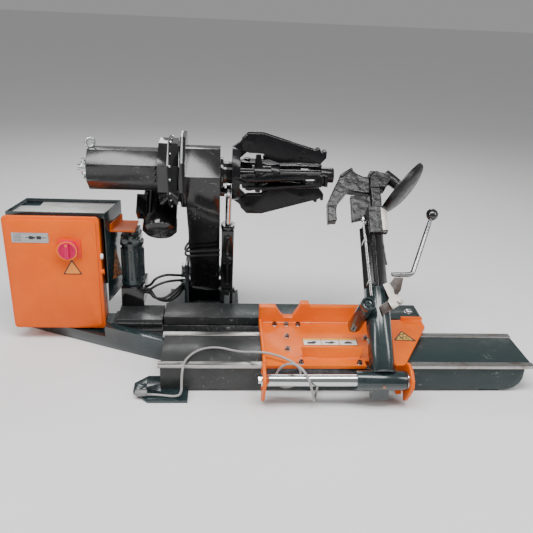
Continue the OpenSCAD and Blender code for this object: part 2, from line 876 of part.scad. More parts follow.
module gear_casing() {
    color(gloss_black) {
        difference() {
            union() {
                octagon(casing_x0, casing_x1, casing_flats);
                octagon(24, 32, casing_flats + 18);
                octagon(casing_x1, 72, casing_flats - 20);
                translate([0, 6, 8]) octagon(70, arm_x0, casing_flats + 34);
                // housing of the worm, below and behind the wheel
                translate([0, chuck_y, chuck_z]) rotate([-45, 0, 0]) {
                    box([casing_x0 + 2, 60, 20], [56, 150, 92]);
                    box([-70, 136, 20], [50, 196, 92]);
                }
                on_motor() cylinder(h = 132, r = 64, center = true);
            }
            octagon(casing_x0 + 10, casing_x1 - 10, casing_flats - 24);
        }
    }
}

module casing_bolts() {
    color(worn_steel)
        for (a = [0:22.5:337.5])
            translate([0, chuck_y, chuck_z]) rotate([a, 0, 0])
                if (a < 190 || a > 280)
                    translate([32, 0, casing_flats / 2 + (a % 45 == 0 ? 5.2 : 15)])
                        rotate([0, 90, 0]) hex(8.5, 6);
}

module octagon_cover() {
    color(cover_grey)
        translate([0, 0, cover_lift]) difference() {
            octagon(cover_end, casing_x0, cover_flats);
            octagon(cover_end + 6, casing_x0 - 6, cover_flats - 12);
        }
    // bolt heads on the cover's front corner
    color("#2C2C2E")
        for (z = [-24, 0, 24])
            translate([casing_x0 - 16, chuck_y - cover_flats / 2 + 2, chuck_z + cover_lift + z])
                rotate([90, 0, 0]) hex(11, 9);
}

module drive_motor() {
    r = motor_d / 2;
    fins = 16;
    color(gloss_black) on_motor() {
        translate([0, 0, 66]) cylinder(h = 12, r = r + 6);
        translate([0, 0, 78]) cylinder(h = 112, r = r - 6);
        for (k = [0:fins - 1])
            rotate([0, 0, 360 * k / fins + 11]) translate([r - 7, -1.5, 80]) cube([8, 3, 108]);
        translate([0, 0, 190]) cylinder(h = 48, r = r + 4);
        translate([0, 0, 238]) cylinder(h = 12, r1 = r + 4, r2 = r - 8);
        // terminal box
        translate([-(r + 31), -30, 92]) cube([41, 60, 84]);
    }
}

module rotary_union() {
    z = chuck_z + cover_lift;
    color(chrome_grey) {
        x_rod(cover_end - 6, cover_end, chuck_y, z, 40);
        x_rod(cover_end - 30, cover_end - 6, chuck_y, z, 24);
        for (a = [30, 150, 270])
            translate([cover_end - 18, chuck_y, z]) rotate([a, 0, 0]) cylinder(h = 42, r = 7);
        x_rod(cover_end - 44, cover_end - 30, chuck_y, z, 12);
        // lifting ring on the cover
        translate([cover_end + 8, chuck_y, z + cover_flats / 2 + 19]) rotate([90, 0, 30])
            rotate_extrude() translate([16, 0]) circle(r = 5);
    }
}

// Two hoses across the front of the arm
module arm_hoses() {
    upper = [[89, 604, 366], [80, 590, 362], [72, 566, 356], [72, 536, 356], [84, 510, 360],
             [110, 497, 366], [150, 494, 370], [190, 490, 374], [221, 484, 378]];
    color(gloss_black)
        for (drop = [0, hose_drop])
            tube(curve([for (p = upper) p - [0, -drop / 2, drop]], 3), 5.5, 8);
}

// ------------------------------------------------------------------ chuck

// A jaw's own frame: +X along the chuck's axis, +Z outwards
module on_jaw(k) {
    translate([0, chuck_y, chuck_z]) rotate([90 * k, 0, 0]) children();
}

module chuck_plate() {
    color(gloss_black) {
        difference() {
            union() {
                x_rod(plate_x0, plate_x1, chuck_y, chuck_z, plate_d / 2);
                for (k = [0:jaw_count - 1])
                    on_jaw(k) xz_plate(-10, 10, [[plate_x1 - 1, 60], [345, 108], [345, 148],
                                                 [312, 148], [plate_x1 - 1, 120], [plate_x0, 100],
                                                 [plate_x0, 60]]);
            }
            for (k = [0:jaw_count - 1])
                on_jaw(k) y_rod(-11, 11, jaw_pivot[0], jaw_pivot[1], jaw_pin_d / 2 + run_fit);
        }
        // spindle, guide rod and nose
        x_rod(160, plate_x0, chuck_y, chuck_z, 30);
        x_rod(plate_x1, 606, chuck_y, chuck_z, 18);
        x_rod(606, 655, chuck_y, chuck_z, 29);
    }
}

module jaw_spider() {
    color(gloss_black)
        difference() {
            union() {
                x_rod(348, 446, chuck_y, chuck_z, 30);
                x_rod(412, 446, chuck_y, chuck_z, 38);
                for (k = [0:jaw_count - 1])
                    on_jaw(k) {
                        for (y = [-13, 7])
                            xz_plate(y, y + 6, [[348, 20], [382, 20], [372, 72], [354, 72]]);
                        y_rod(-13, 13, spider_pin[0], spider_pin[1], 6);
                    }
            }
            x_rod(347, 447, chuck_y, chuck_z, 18 + run_fit);
        }
}

module jaw(k) {
    inner = jaw_gap / 2;
    outer = inner + jaw_plate_t;
    outline = [[298, 96], [298, 132], [322, 156], [380, 156], [606, 90], [616, 70], [600, 48],
               [520, 52], [440, 48], [404, 60], [378, 82], [325, 84]];
    claw = [[574, 50], [600, 48], [621, 72], [621, 96], [611, 96], [607, 88], [598, 91],
            [596, 104], [586, 104], [582, 98], [570, 100]];
    link_a = spider_pin + 17 * unit(link_pin - spider_pin);
    link_dir = unit(link_pin - spider_pin);
    link_n = [-link_dir[1], link_dir[0]];
    color(gloss_black) on_jaw(k) {
        difference() {
            for (y = [-outer, inner])
                xz_plate(y, y + jaw_plate_t, outline);
            y_rod(-outer - 1, outer + 1, jaw_pivot[0], jaw_pivot[1], jaw_pin_d / 2);
        }
        xz_plate(-outer, outer, claw);
        y_rod(-outer, outer, link_pin[0], link_pin[1], 9);
        // link towards the spider
        xz_plate(-6, 6, [link_a + 8 * link_n, link_a - 8 * link_n, link_pin - 8 * link_n,
                         link_pin + 8 * link_n]);
    }
    color(worn_steel) on_jaw(k) {
        y_rod(-outer - 3, outer + 3, jaw_pivot[0], jaw_pivot[1], jaw_pin_d / 2);
        for (y = [-outer - 7, outer + 3])
            y_rod(y, y + 4, jaw_pivot[0], jaw_pivot[1], 14);
        for (y = [-outer - 3, outer])
            y_rod(y, y + 3, link_pin[0], link_pin[1], 12);
    }
}

module jaw_1() { jaw(0); }
module jaw_2() { jaw(1); }
module jaw_3() { jaw(2); }
module jaw_4() { jaw(3); }

// --------------------------------------------------------- arm cylinder

module arm_barrel() {
    color(gloss_black) on_ram() {
        difference() {
            union() {
                translate([0, 0, 30]) cylinder(h = 290, r = 26);
                translate([0, 0, 320]) cylinder(h = 14, r = 29);
                rotate([0, 90, 0]) cylinder(h = 20, r = 24, center = true);
                box([-10, -14, 10], [10, 14, 31]);
            }
            translate([0, 0, 60]) cylinder(h = 262, r = 20);
            translate([0, 0, 321]) cylinder(h = 14, r = 12 + run_fit);
            rotate([0, 90, 0]) cylinder(h = 22, r = 10 + run_fit, center = true);
        }
        // guard rail beside the pipe
        box([-24, -36, 34], [24, -24, 322]);
    }
    color(chrome_grey) on_ram() {
        translate([0, -42, 56]) cylinder(h = 124, r = 4);
        translate([0, -42, 216]) cylinder(h = 86, r = 4);
        for (z = [50, 168, 212, 290])
            translate([0, -42, z]) cylinder(h = 14, r = 7);
        for (z = [57, 297])
            translate([0, -36, z]) rotate([90, 0, 0]) cylinder(h = 14, r = 9);
        box([-18, -60, 180], [14, -36, 214]);
    }
}

module arm_rod() {
    color(chrome_grey) on_ram() {
        difference() {
            union() {
                translate([0, 0, 146]) cylinder(h = ram_len - 168, r = 12);
                translate([0, 0, 146]) cylinder(h = 24, r = 20 - run_fit);
                translate([0, 0, ram_len]) rotate([0, 90, 0])
                    cylinder(h = 18, r = 30, center = true);
            }
            translate([0, 0, ram_len]) rotate([0, 90, 0]) cylinder(h = 22, r = 18, center = true);
        }
    }
}

bed_beam();
bed_rails();
foot_plates();
base_frame();
cross_members();
rear_channel();
carriage_barrel();
arm_stand();
pivot_pin();
cylinder_foot();
cabinet_hood();
top_tray();
enclosure_box();
contactor_bank();
pump_motor();
oil_tank();
shelf_plate();
hydraulic_hoses();
enclosure_door();
nameplate();
switch_plate();
switch_knob();
saddle();
saddle_bolts();
keeper_bars();
saddle_ears();
chrome_shaft();
rear_cover();
carriage_rod();
cable_gland();
mains_cable();
cable_connector();
post_sleeve();
post_tube();
buffer_barrel();
latch_block();
post_bar();
release_rod();
latch_lever();
ball_knob();
latch_plate();
head_casting();
hook();
bead_disc();
chuck_arm();
spindle_housing();
gear_casing();
casing_bolts();
octagon_cover();
drive_motor();
rotary_union();
arm_hoses();
chuck_plate();
jaw_spider();
jaw_1();
jaw_2();
jaw_3();
jaw_4();
arm_barrel();
arm_rod();
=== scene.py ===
import json
import math

import bmesh
import bpy
from mathutils import Matrix, Vector, noise

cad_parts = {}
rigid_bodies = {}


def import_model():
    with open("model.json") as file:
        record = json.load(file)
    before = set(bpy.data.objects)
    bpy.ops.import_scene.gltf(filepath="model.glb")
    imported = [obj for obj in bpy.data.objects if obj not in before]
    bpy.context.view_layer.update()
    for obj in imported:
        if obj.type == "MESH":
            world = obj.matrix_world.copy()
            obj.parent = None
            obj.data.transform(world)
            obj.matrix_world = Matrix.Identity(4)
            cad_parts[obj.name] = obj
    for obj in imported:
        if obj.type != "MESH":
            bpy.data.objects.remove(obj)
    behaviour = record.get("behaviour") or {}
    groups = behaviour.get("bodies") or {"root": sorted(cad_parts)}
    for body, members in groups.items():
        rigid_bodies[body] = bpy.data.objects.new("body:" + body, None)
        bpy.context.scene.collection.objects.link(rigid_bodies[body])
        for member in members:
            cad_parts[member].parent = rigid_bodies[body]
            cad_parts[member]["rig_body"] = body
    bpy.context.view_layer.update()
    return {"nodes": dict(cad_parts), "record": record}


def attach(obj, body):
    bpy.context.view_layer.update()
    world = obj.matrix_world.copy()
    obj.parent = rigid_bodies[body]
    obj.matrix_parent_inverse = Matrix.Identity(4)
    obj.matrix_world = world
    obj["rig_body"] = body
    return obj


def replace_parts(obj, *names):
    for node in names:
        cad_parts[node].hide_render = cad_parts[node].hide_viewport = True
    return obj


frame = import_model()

nodes = frame["nodes"]
slot_of = {s["node"]: s["material_slot"] for s in frame["record"]["subparts"]}
scene = bpy.context.scene
MM = 0.001
MERGE = 0.00002  # the imported faces share no points until they are merged
TURN = 2 * math.pi

# ---------------------------------------------------------------- camera
# Fitted to the straight edges of the machine; the row frame is in metres.

lens = bpy.data.cameras.new("camera")
lens.sensor_width = 36
lens.lens = 41.4
camera = bpy.data.objects.new("camera", lens)
scene.collection.objects.link(camera)
turn = Matrix(((0.9972, -0.0149, -0.0732), (-0.0610, 0.4031, -0.9131), (0.0431, 0.9150, 0.4011)))
camera.rotation_mode = "QUATERNION"
camera.rotation_quaternion = turn.to_quaternion()
camera.location = (0.2278, -1.9089, 1.3571)
scene.camera = camera


# --------------------------------------------------------------- helpers

def smooth_path(points, steps):
    """Catmull-Rom points through the list."""
    out = []
    last = len(points) - 1
    for i in range(last):
        a, b = points[max(i - 1, 0)], points[i]
        c, d = points[i + 1], points[min(i + 2, last)]
        for k in range(steps):
            t = k / steps
            out.append([0.5 * (2 * b[j] + (c[j] - a[j]) * t
                               + (2 * a[j] - 5 * b[j] + 4 * c[j] - d[j]) * t * t
                               + (3 * b[j] - a[j] - 3 * c[j] + d[j]) * t ** 3) for j in range(3)])
    out.append(list(points[-1]))
    return out


def new_object(name, mesh, body, material=None):
    obj = bpy.data.objects.new(name, mesh)
    scene.collection.objects.link(obj)
    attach(obj, body)
    if material:
        obj.data.materials.append(material)
    return obj


def mesh_of(name, bm, angle=35):
    mesh = bpy.data.meshes.new(name)
    bmesh.ops.recalc_face_normals(bm, faces=bm.faces)
    bm.to_mesh(mesh)
    bm.free()
    mesh.polygons.foreach_set("use_smooth", [True] * len(mesh.polygons))
    mesh.set_sharp_from_angle(angle=math.radians(angle))
    return mesh


def sweep(bm, path, radius, sides=12, closed=False):
    """Adds a tube along the path; radius is a number or one number for each point."""
    pts = [Vector(p) for p in path]
    n = len(pts)
    radii = radius if isinstance(radius, list) else [radius] * n
    rings, side = [], None
    for i in range(n):
        nxt = pts[(i + 1) % n] if closed else pts[min(i + 1, n - 1)]
        prv = pts[i - 1] if closed or i else pts[0]
        d = (nxt - prv).normalized()
        if side is None:
            side = d.cross(Vector((0.3, 0.2, 1)) if abs(d.z) < 0.9 else Vector((1, 0, 0)))
        side = (side - d * side.dot(d)).normalized()
        up = d.cross(side)
        rings.append([bm.verts.new(pts[i] + radii[i] * (math.cos(a) * side + math.sin(a) * up))
                      for a in (TURN * k / sides for k in range(sides))])
    for i in range(n if closed else n - 1):
        a, b = rings[i], rings[(i + 1) % n]
        for k in range(sides):
            bm.faces.new((a[k], a[(k + 1) % sides], b[(k + 1) % sides], b[k]))
    if not closed:
        bm.faces.new(rings[0][::-1])
        bm.faces.new(rings[-1])


def lathe(bm, profile, place, steps=48):
    """Turns (radius, height) points about place's Z axis; the ends close on the axis or are capped."""
    rings = []
    for r, h in profile:
        if r < 1e-6:
            rings.append([bm.verts.new(place @ Vector((0, 0, h)))])
        else:
            rings.append([bm.verts.new(place @ Vector((r * math.cos(a), r * math.sin(a), h)))
                          for a in (TURN * k / steps for k in range(steps))])
    for a, b in zip(rings, rings[1:]):
        for k in range(steps):
            j = (k + 1) % steps
            if len(a) == 1 and len(b) == 1:
                continue
            if len(a) == 1:
                bm.faces.new((a[0], b[k], b[j]))
            elif len(b) == 1:
                bm.faces.new((a[k], b[0], a[j]))
            else:
                bm.faces.new((a[k], b[k], b[j], a[j]))
    for ring, flip in ((rings[0], True), (rings[-1], False)):
        if len(ring) > 1:
            bm.faces.new(ring[::-1] if flip else ring)


def hoop(bm, place, radius, height, wire, steps=64):
    """Adds a thin ring about place's Z axis."""
    turns = [TURN * k / steps for k in range(steps)]
    sweep(bm, [place @ Vector((radius * math.cos(a), radius * math.sin(a), height)) for a in turns],
          wire, 8, closed=True)


def slab(bm, outline, place, z0, z1, bevel=0.0):
    """A flat outline of (x, y) points in place's plane, made solid from z0 to z1."""
    low = [bm.verts.new(place @ Vector((x, y, z0))) for x, y in outline]
    high = [bm.verts.new(place @ Vector((x, y, z1))) for x, y in outline]
    faces = [bm.faces.new(low[::-1]), bm.faces.new(high)]
    for i in range(len(low)):
        j = (i + 1) % len(low)
        faces.append(bm.faces.new((low[i], low[j], high[j], high[i])))
    if bevel:
        edges = {e for f in faces for e in f.edges}
        bmesh.ops.bevel(bm, geom=list(edges), offset=bevel, segments=2, profile=0.6, affect="EDGES")


def round_rect(w, h, r, steps=6):
    pts = []
    for cx, cy, a0 in ((w / 2 - r, h / 2 - r, 0), (-w / 2 + r, h / 2 - r, 90),
                       (-w / 2 + r, -h / 2 + r, 180), (w / 2 - r, -h / 2 + r, 270)):
        for k in range(steps + 1):
            a = math.radians(a0 + 90 * k / steps)
            pts.append((cx + r * math.cos(a), cy + r * math.sin(a)))
    return pts


def weld_path(path, radius, closed=False, ripple=0.25, seed=0):
    """Rippled radii for a weld bead along a path resampled to short steps."""
    pts = [Vector(p) for p in path]
    if closed:
        pts.append(pts[0])
    out = []
    for a, b in zip(pts, pts[1:]):
        n = max(1, int((b - a).length / 0.0018))
        out += [a.lerp(b, k / n) for k in range(n)]
    if not closed:
        out.append(pts[-1])
    radii = [radius * (1 + ripple * math.sin(i * 1.9 + seed) * 0.5
                       + ripple * noise.noise(p * 90)) for i, p in enumerate(out)]
    return out, radii


def weld(name, paths, radius, body, material, closed=False):
    bm = bmesh.new()
    for i, path in enumerate(paths):
        pts, radii = weld_path(path, radius, closed, seed=i)
        sweep(bm, pts, radii, sides=8, closed=closed)
    return new_object(name, mesh_of(name, bm, angle=80), body, material)


# -------------------------------------------------------------- materials

class Shader:
    """A short way to write a node material."""

    def __init__(self, name):
        self.material = bpy.data.materials.new(name)
        self.material.use_nodes = True
        self.tree = self.material.node_tree
        self.bsdf = self.tree.nodes["Principled BSDF"]
        self.coords = self.node("ShaderNodeTexCoord").outputs["Object"]

    def node(self, kind, **values):
        made = self.tree.nodes.new(kind)
        for key, value in values.items():
            if hasattr(made, key):
                setattr(made, key, value)
            else:
                made.inputs[key.replace("_", " ")].default_value = value
        return made

    def link(self, a, b):
        self.tree.links.new(a, b)

    def scaled(self, scale, turn_by=(0, 0, 0)):
        m = self.node("ShaderNodeMapping")
        m.inputs["Scale"].default_value = scale
        m.inputs["Rotation"].default_value = turn_by
        self.link(self.coords, m.inputs["Vector"])
        return m.outputs["Vector"]

    def noise(self, scale, detail=4.0, rough=0.6, vector=None, distortion=0.0):
        n = self.node("ShaderNodeTexNoise")
        n.inputs["Scale"].default_value = scale
        n.inputs["Detail"].default_value = detail
        n.inputs["Roughness"].default_value = rough
        n.inputs["Distortion"].default_value = distortion
        self.link(vector or self.coords, n.inputs["Vector"])
        return n.outputs["Fac"]

    def span(self, value, a, b, c, d):
        m = self.node("ShaderNodeMapRange")
        for key, v in zip(("From Min", "From Max", "To Min", "To Max"), (a, b, c, d)):
            m.inputs[key].default_value = v
        self.link(value, m.inputs["Value"])
        return m.outputs["Result"]

    def mix(self, fac, a, b):
        m = self.node("ShaderNodeMix", data_type="RGBA")
        for value, socket in ((fac, m.inputs["Factor"]), (a, m.inputs[6]), (b, m.inputs[7])):
            if isinstance(value, (int, float)):
                socket.default_value = value
            elif isinstance(value, (tuple, list)):
                socket.default_value = (*value, 1.0)
            else:
                self.link(value, socket)
        return m.outputs[2]

    def math(self, op, a, b=0.0):
        m = self.node("ShaderNodeMath", operation=op)
        for i, v in enumerate((a, b)):
            if isinstance(v, (int, float)):
                m.inputs[i].default_value = v
            else:
                self.link(v, m.inputs[i])
        return m.outputs[0]

    def edges(self, radius, low=0.02, high=0.25):
        """1 near convex or concave edges, broken up by noise."""
        b = self.node("ShaderNodeBevel", samples=4)
        b.inputs["Radius"].default_value = radius
        g = self.node("ShaderNodeNewGeometry")
        d = self.node("ShaderNodeVectorMath", operation="DOT_PRODUCT")
        self.link(b.outputs["Normal"], d.inputs[0])
        self.link(g.outputs["Normal"], d.inputs[1])
        bent = self.math("SUBTRACT", 1.0, d.outputs["Value"])
        worn = self.math("MULTIPLY", self.span(bent, low, high, 0, 1),
                         self.span(self.noise(38), 0.42, 0.62, 0, 1))
        return worn

    def height(self, value):
        x = self.node("ShaderNodeSeparateXYZ")
        self.link(self.coords, x.inputs[0])
        return x.outputs[value]

    def finish(self, color=None, rough=None, bump=None, bump_strength=0.1, bump_distance=0.001,
               **fixed):
        for key, value in fixed.items():
            self.bsdf.inputs[key.replace("_", " ")].default_value = value
        if color is not None:
            self.link(color, self.bsdf.inputs["Base Color"])
        if rough is not None:
            self.link(rough, self.bsdf.inputs["Roughness"])
        if bump is not None:
            b = self.node("ShaderNodeBump")
            b.inputs["Strength"].default_value = bump_strength
            b.inputs["Distance"].default_value = bump_distance
            self.link(bump, b.inputs["Height"])
            self.link(b.outputs["Normal"], self.bsdf.inputs["Normal"])
        return self.material


def paint(name, base, dark, light, rough, coat=0.4, wear=(0.45, 0.44, 0.42), wear_radius=0.0016,
          dust=None, dust_amount=0.0, peel=0.05, shine=0.5):
    s = Shader(name)
    broad = s.noise(5.0, 5)
    color = s.mix(s.span(broad, 0.3, 0.7, 0, 1), dark, base)
    color = s.mix(s.span(s.noise(23.0, 6), 0.52, 0.8, 0, 0.5), color, light)
    if dust:
        film = s.span(s.noise(14.0, 8, 0.7, distortion=0.6), 0.42, 0.72, 0, dust_amount)
        color = s.mix(film, color, dust)
    if wear:
        color = s.mix(s.edges(wear_radius), color, wear)
    roughness = s.span(s.noise(31.0, 7), 0.25, 0.75, rough * 0.75, rough * 1.35)
    return s.finish(color, roughness, s.noise(420.0, 3), peel, 0.0006,
                    Coat_Weight=coat, Coat_Roughness=0.09, Specular_IOR_Level=shine)


def scuffed(name, base, green, scratch, x0, x1, rough=0.42):
    """Grey worn paint that turns to dark green between x0 and x1, with pale scratches."""
    s = Shader(name)
    broad = s.noise(7.0, 8, 0.68, distortion=0.8)
    grey = s.mix(s.span(broad, 0.35, 0.68, 0, 1), tuple(0.55 * c for c in base), base)
    x = s.height("X")
    fade = s.span(s.math("ADD", x, s.span(broad, 0, 1, -0.12, 0.12)), x0, x1, 0, 1)
    color = s.mix(fade, grey, green)
    lines = s.noise(1.0, 5, 0.6, s.scaled((26, 190, 60), (0.1, 0.0, 0.5)))
    cross = s.noise(1.0, 4, 0.6, s.scaled((170, 22, 60), (0.0, 0.1, -0.4)))
    marks = s.math("MULTIPLY", s.span(s.math("MAXIMUM", lines, cross), 0.63, 0.7, 0, 1),
                   s.span(s.noise(9.0, 3), 0.48, 0.6, 0, 0.75))
    color = s.mix(marks, color, scratch)
    color = s.mix(s.edges(0.0018), color, (0.5, 0.48, 0.45))
    roughness = s.span(s.noise(19.0, 8), 0.3, 0.7, rough * 0.7, rough * 1.4)
    return s.finish(color, roughness, s.math("ADD", s.noise(300.0, 4), marks), 0.12, 0.0006,
                    Coat_Weight=0.15, Coat_Roughness=0.2)


def steel(name, base, dark, rough, along=(4, 260, 260), rust=None, rust_amount=0.0, metallic=1.0,
          rust_from=None):
    """Ground or brushed metal, with its lines along the short number's axis."""
    s = Shader(name)
    lines = s.noise(1.0, 6, 0.65, s.scaled(along))
    color = s.mix(s.span(lines, 0.3, 0.7, 0, 1), dark, base)
    color = s.mix(s.span(s.noise(30.0, 6), 0.5, 0.8, 0, 0.6), color, dark)
    if rust:
        stain = s.span(s.noise(17.0, 8, 0.75, distortion=1.0), 0.5, 0.7, 0, rust_amount)
        if rust_from is not None:
            stain = s.math("MULTIPLY", stain, s.span(s.height("X"), *rust_from, 0.25, 1))
        color = s.mix(stain, color, rust)
    roughness = s.span(lines, 0.25, 0.75, rough * 0.7, rough * 1.4)
    return s.finish(color, roughness, lines, 0.08, 0.0004, Metallic=metallic)


def cast(name, base, light, rough=0.5, grain=130.0, strength=0.5, wear=(0.42, 0.42, 0.41)):
    s = Shader(name)
    pits = s.noise(grain, 6, 0.7)
    color = s.mix(s.span(pits, 0.42, 0.75, 0, 1), base, light)
    color = s.mix(s.edges(0.003, 0.01, 0.2), color, wear)
    roughness = s.span(s.noise(grain * 0.6, 5), 0.3, 0.7, rough * 0.6, rough * 1.4)
    return s.finish(color, roughness, pits, strength, 0.0016, Coat_Weight=0.12,
                    Coat_Roughness=0.2, Specular_IOR_Level=0.3)


def plastic(name, base, rough=0.35, coat=0.2, vary=0.12, grain=500.0, shine=0.5):
    s = Shader(name)
    color = s.mix(s.span(s.noise(12.0, 5), 0.3, 0.7, 0, 1), tuple(c * (1 - vary) for c in base), base)
    roughness = s.span(s.noise(60.0, 5), 0.3, 0.7, rough * 0.8, rough * 1.25)
    return s.finish(color, roughness, s.noise(grain, 2), 0.06, 0.0004, Coat_Weight=coat,
                    Coat_Roughness=0.12, Specular_IOR_Level=shine)


NO_FADE = (8.0, 9.0)  # x beyond the machine, so that the paint stays as it is
ORANGE = (0.86, 0.145, 0.0)
GREEN = (0.0115, 0.026, 0.029)

orange = paint("orange", ORANGE, (0.74, 0.10, 0.0), (0.9, 0.20, 0.006), 0.38, 0.05,
               wear=(0.62, 0.26, 0.07), dust=(0.66, 0.15, 0.012), dust_amount=0.35, shine=0.25)
door_orange = paint("door orange", (0.84, 0.125, 0.0), (0.76, 0.10, 0.0), (0.88, 0.155, 0.003), 0.42,
                    0.05, wear=None, peel=0.16, shine=0.25)
green = paint("dark green", GREEN, (0.006, 0.014, 0.016), (0.028, 0.048, 0.052), 0.22, 0.6,
              wear=(0.10, 0.11, 0.11), dust=(0.055, 0.07, 0.07), dust_amount=0.3)
bed_green = scuffed("bed green", (0.032, 0.034, 0.034), (0.008, 0.021, 0.022), (0.2, 0.21, 0.2),
                    0.30, 0.62)
cover_paint = scuffed("cover paint", (0.040, 0.040, 0.040), (0.007, 0.018, 0.019),
                      (0.26, 0.26, 0.26), 0.16, 0.44, 0.5)
octagon_paint = scuffed("octagon paint", (0.022, 0.022, 0.023), GREEN, (0.5, 0.5, 0.49), *NO_FADE, 0.2)
channel_paint = scuffed("channel paint", (0.03, 0.032, 0.033), GREEN, (0.3, 0.3, 0.3), *NO_FADE, 0.3)
gloss = paint("gloss black", (0.005, 0.005, 0.0055), (0.003, 0.003, 0.0035), (0.014, 0.014, 0.015), 0.14,
              0.7, wear=(0.14, 0.14, 0.14), wear_radius=0.0012, dust=(0.03, 0.03, 0.031),
              dust_amount=0.22, peel=0.04, shine=0.3)
arm_black = scuffed("arm black", (0.012, 0.012, 0.013), GREEN, (0.26, 0.26, 0.26), *NO_FADE, 0.14)
jaw_black = paint("jaw black", (0.006, 0.006, 0.007), (0.003, 0.003, 0.004), (0.012, 0.012, 0.012),
                  0.24, 0.1, wear=(0.12, 0.12, 0.12), wear_radius=0.001, shine=0.25)
cast_black = cast("cast black", (0.006, 0.006, 0.0065), (0.02, 0.02, 0.021), 0.38, 90.0, 0.35)
bar_black = cast("bar black", (0.006, 0.006, 0.0065), (0.018, 0.018, 0.018), 0.2, 45.0, 0.15)
hook_metal = cast("hook metal", (0.006, 0.006, 0.0065), (0.045, 0.045, 0.044), 0.3, 60.0, 0.4,
                  wear=(0.5, 0.5, 0.49))
disc_metal = steel("disc inside", (0.10, 0.10, 0.098), (0.012, 0.012, 0.012), 0.2, (14, 30, 60),
                   metallic=0.7)
rail_steel = steel("ground rail", (0.60, 0.59, 0.57), (0.34, 0.335, 0.325), 0.34, (7, 220, 220),
                   rust=(0.22, 0.10, 0.045), rust_amount=0.8, rust_from=(0.5, 1.3))
chrome = steel("chrome", (0.74, 0.75, 0.76), (0.52, 0.53, 0.54), 0.13, (3, 180, 180))
zinc = steel("zinc", (0.66, 0.68, 0.68), (0.42, 0.44, 0.45), 0.3, (60, 60, 60))
latch_steel = steel("latch steel", (0.46, 0.43, 0.385), (0.33, 0.31, 0.28), 0.42, (12, 12, 220),
                    metallic=0.75)
lever_steel = steel("lever steel", (0.42, 0.425, 0.43), (0.17, 0.17, 0.175), 0.24, (30, 30, 30))
dark_steel = steel("dark steel", (0.12, 0.12, 0.125), (0.035, 0.035, 0.037), 0.35, (50, 50, 50))
bolt_steel = steel("bolt steel", (0.26, 0.26, 0.265), (0.10, 0.10, 0.10), 0.3, (50, 50, 50))
rod_steel = steel("rod steel", (0.7, 0.7, 0.7), (0.4, 0.4, 0.41), 0.2, (120, 120, 4))
tray = steel("tray top", (0.60, 0.60, 0.585), (0.38, 0.38, 0.37), 0.45, (14, 120, 60), metallic=0.35)
plate_metal = steel("nameplate metal", (0.50, 0.50, 0.50), (0.36, 0.36, 0.37), 0.36, (8, 60, 260),
                    metallic=0.7)
brown_block = cast("oiled block", (0.022, 0.014, 0.011), (0.085, 0.05, 0.035), 0.4, 70.0, 0.2)
hose = plastic("hose rubber", (0.012, 0.012, 0.013), 0.4, 0.25)
cable_grey = plastic("cable grey", (0.36, 0.355, 0.345), 0.42, 0.1, 0.25)
connector_grey = plastic("connector grey", (0.22, 0.22, 0.22), 0.4)
device_grey = plastic("device grey", (0.6, 0.6, 0.57), 0.5)
switch_red = plastic("switch red", (0.83, 0.035, 0.01), 0.34, 0.1, shine=0.3)
magenta = plastic("knob magenta", (0.62, 0.0, 0.085), 0.34, 0.05, shine=0.25)
yellow = plastic("ring yellow", (0.90, 0.30, 0.0), 0.35, 0.05, shine=0.25)
strip_yellow = plastic("strip yellow", (0.90, 0.40, 0.02), 0.45, 0.05)
ball_black = plastic("ball black", (0.008, 0.008, 0.009), 0.14, 0.8)
copper = steel("copper", (0.72, 0.36, 0.22), (0.42, 0.19, 0.11), 0.28, (60, 60, 60))
white = plastic("white plug", (0.83, 0.83, 0.82), 0.35)
sticker_black = plastic("sticker black", (0.012, 0.012, 0.012), 0.45)
sticker_white = plastic("sticker white", (0.80, 0.79, 0.76), 0.5)
sticker_orange = plastic("sticker orange", (0.90, 0.27, 0.015), 0.42)
weld_orange = paint("weld orange", (0.80, 0.24, 0.06), (0.7, 0.14, 0.02), (0.9, 0.5, 0.3), 0.3, 0.3,
                    wear=None)


def speckled(name, base, spot, scale=95.0):
    s = Shader(name)
    spots = s.noise(scale, 6, 0.7, distortion=1.5)
    color = s.mix(s.span(spots, 0.47, 0.52, 0, 1), base, spot)
    return s.finish(color, s.span(spots, 0.3, 0.7, 0.35, 0.6), spots, 0.2, 0.0004)


speckle = speckled("speckled triangle", (0.78, 0.45, 0.06), (0.02, 0.018, 0.015))
hood_speckle = speckled("speckled side", (0.60, 0.17, 0.02), (0.012, 0.028, 0.03), 70.0)

by_slot = {
    "orange_paint": orange, "green_paint": green, "black_paint": gloss, "grey_paint": octagon_paint,
    "tray_grey": tray, "ground_steel": rail_steel, "dark_steel": dark_steel, "chrome": chrome,
    "cast_black": cast_black, "device_grey": device_grey, "hose_rubber": hose,
    "switch_red": switch_red, "knob_magenta": magenta, "cable_grey": cable_grey,
    "ball_black": ball_black,
}
by_node = {
    "bed_beam": bed_green, "rear_cover": cover_paint, "rear_channel": channel_paint,
    "octagon_cover": octagon_paint, "chuck_arm": arm_black, "enclosure_door": door_orange,
    "nameplate": plate_metal, "pivot_pin": zinc, "casing_bolts": zinc, "release_rod": rod_steel,
    "latch_plate": latch_steel, "latch_lever": lever_steel, "latch_block": brown_block,
    "post_bar": bar_black, "cable_connector": connector_grey, "cable_gland": connector_grey,
    "rotary_union": zinc, "arm_rod": chrome, "carriage_rod": chrome, "keeper_bars": dark_steel,
    "chuck_plate": jaw_black, "jaw_spider": jaw_black, "jaw_1": jaw_black, "jaw_2": jaw_black,
    "jaw_3": jaw_black, "jaw_4": jaw_black, "saddle_bolts": bolt_steel,
}

# ---------------------------------------------------- the CAD's own pieces

